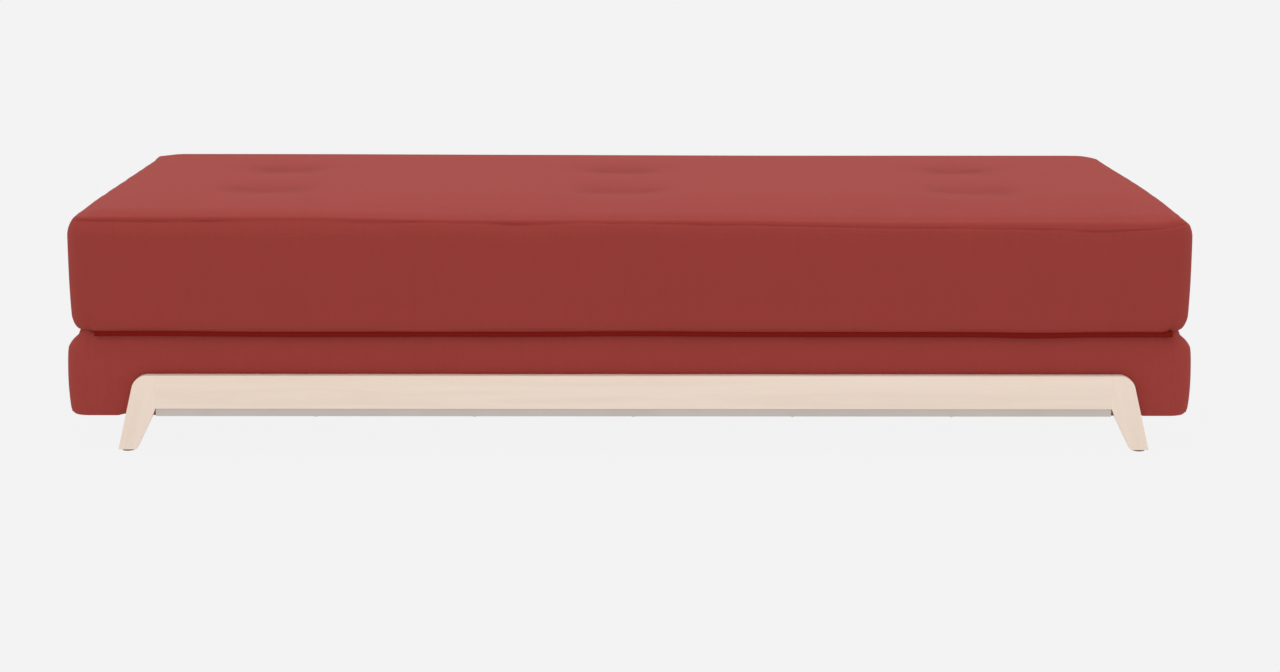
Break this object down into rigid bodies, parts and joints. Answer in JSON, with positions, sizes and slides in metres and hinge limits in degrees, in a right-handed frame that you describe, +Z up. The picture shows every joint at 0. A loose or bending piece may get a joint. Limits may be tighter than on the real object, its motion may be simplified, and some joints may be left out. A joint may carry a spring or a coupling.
{
  "type": "sofa bed",
  "caption": "Sofa bed: upholstered box base on splayed wooden leg frames, under a tufted mattress that folds forward over the front edge onto the floor to make a bed.",
  "frame": {"origin": "on the floor under the middle of the sofa bed, folded up as a sofa", "axes": "+X to the right along its length, seen from the front; +Y to the back; +Z up"},
  "size_m": [2, 0.932, 0.429],
  "materials": {
    "red_cloth": "matte",
    "dark_red_cloth": "matte",
    "light_wood": "satin",
    "box_wood": "matte",
    "slat_wood": "satin",
    "grey_metal": "satin",
    "screw_steel": "satin",
    "insert_brass": "satin",
    "black_plastic": "matte",
    "foam": "matte",
    "grey_felt": "matte",
    "dust_cloth": "matte",
    "twine": "matte",
    "zip_metal": "polished"
  },
  "bodies": {
    "base": {"front_rail": "light_wood", "front_left_leg": "light_wood", "front_right_leg": "light_wood", "back_rail": "light_wood", "back_left_leg": "light_wood", "back_right_leg": "light_wood", "leg_dowels": "box_wood", "box_front_board": "box_wood", "box_back_board": "box_wood", "box_left_board": "box_wood", "box_right_board": "box_wood", "corner_blocks": "box_wood", "cross_rail_1": "box_wood", "cross_rail_2": "box_wood", "cross_rail_3": "box_wood", "foot_glides": "grey_felt", "front_stiffener": "grey_metal", "back_stiffener": "grey_metal", "stiffener_screws": "screw_steel", "frame_bolts": "screw_steel", "bolt_washers": "screw_steel", "box_screws": "screw_steel", "threaded_inserts": "insert_brass", "slat_1": "slat_wood", "slat_2": "slat_wood", "slat_3": "slat_wood", "slat_4": "slat_wood", "slat_5": "slat_wood", "slat_6": "slat_wood", "slat_7": "slat_wood", "slat_8": "slat_wood", "slat_9": "slat_wood", "slat_10": "slat_wood", "slat_11": "slat_wood", "slat_12": "slat_wood", "slat_13": "slat_wood", "slat_14": "slat_wood", "slat_15": "slat_wood", "slat_holders": "black_plastic", "base_foam": "foam", "base_cover": "red_cloth", "hinge_leaf_lower": "dark_red_cloth", "dust_cloth": "dust_cloth"},
    "mattress": {"mattress_cover": "red_cloth", "mattress_core": "foam", "tuft_buttons": "red_cloth", "tuft_twine": "twine", "tuft_anchors": "grey_felt", "zip_tape": "dark_red_cloth", "hinge_leaf_upper": "dark_red_cloth"},
    "zip_slider": {"zip_slider": "zip_metal"},
    "zip_pull": {"zip_pull": "zip_metal"}
  },
  "joints": [
    {"name": "mattress_fold", "type": "hinge", "parent": "base", "child": "mattress", "pos_m": [0, -0.459, 0.216], "axis": [1, 0, 0], "range_deg": [0, 180]},
    {"name": "zip_slide", "type": "slide", "parent": "mattress", "child": "zip_slider", "axis": [1, 0, 0], "range_m": [-1.636, 0]},
    {"name": "pull_swing", "type": "hinge", "parent": "zip_slider", "child": "zip_pull", "pos_m": [0.818, 0.456, 0.32408], "axis": [1, 0, 0], "range_deg": [-5, 185]}
  ]
}
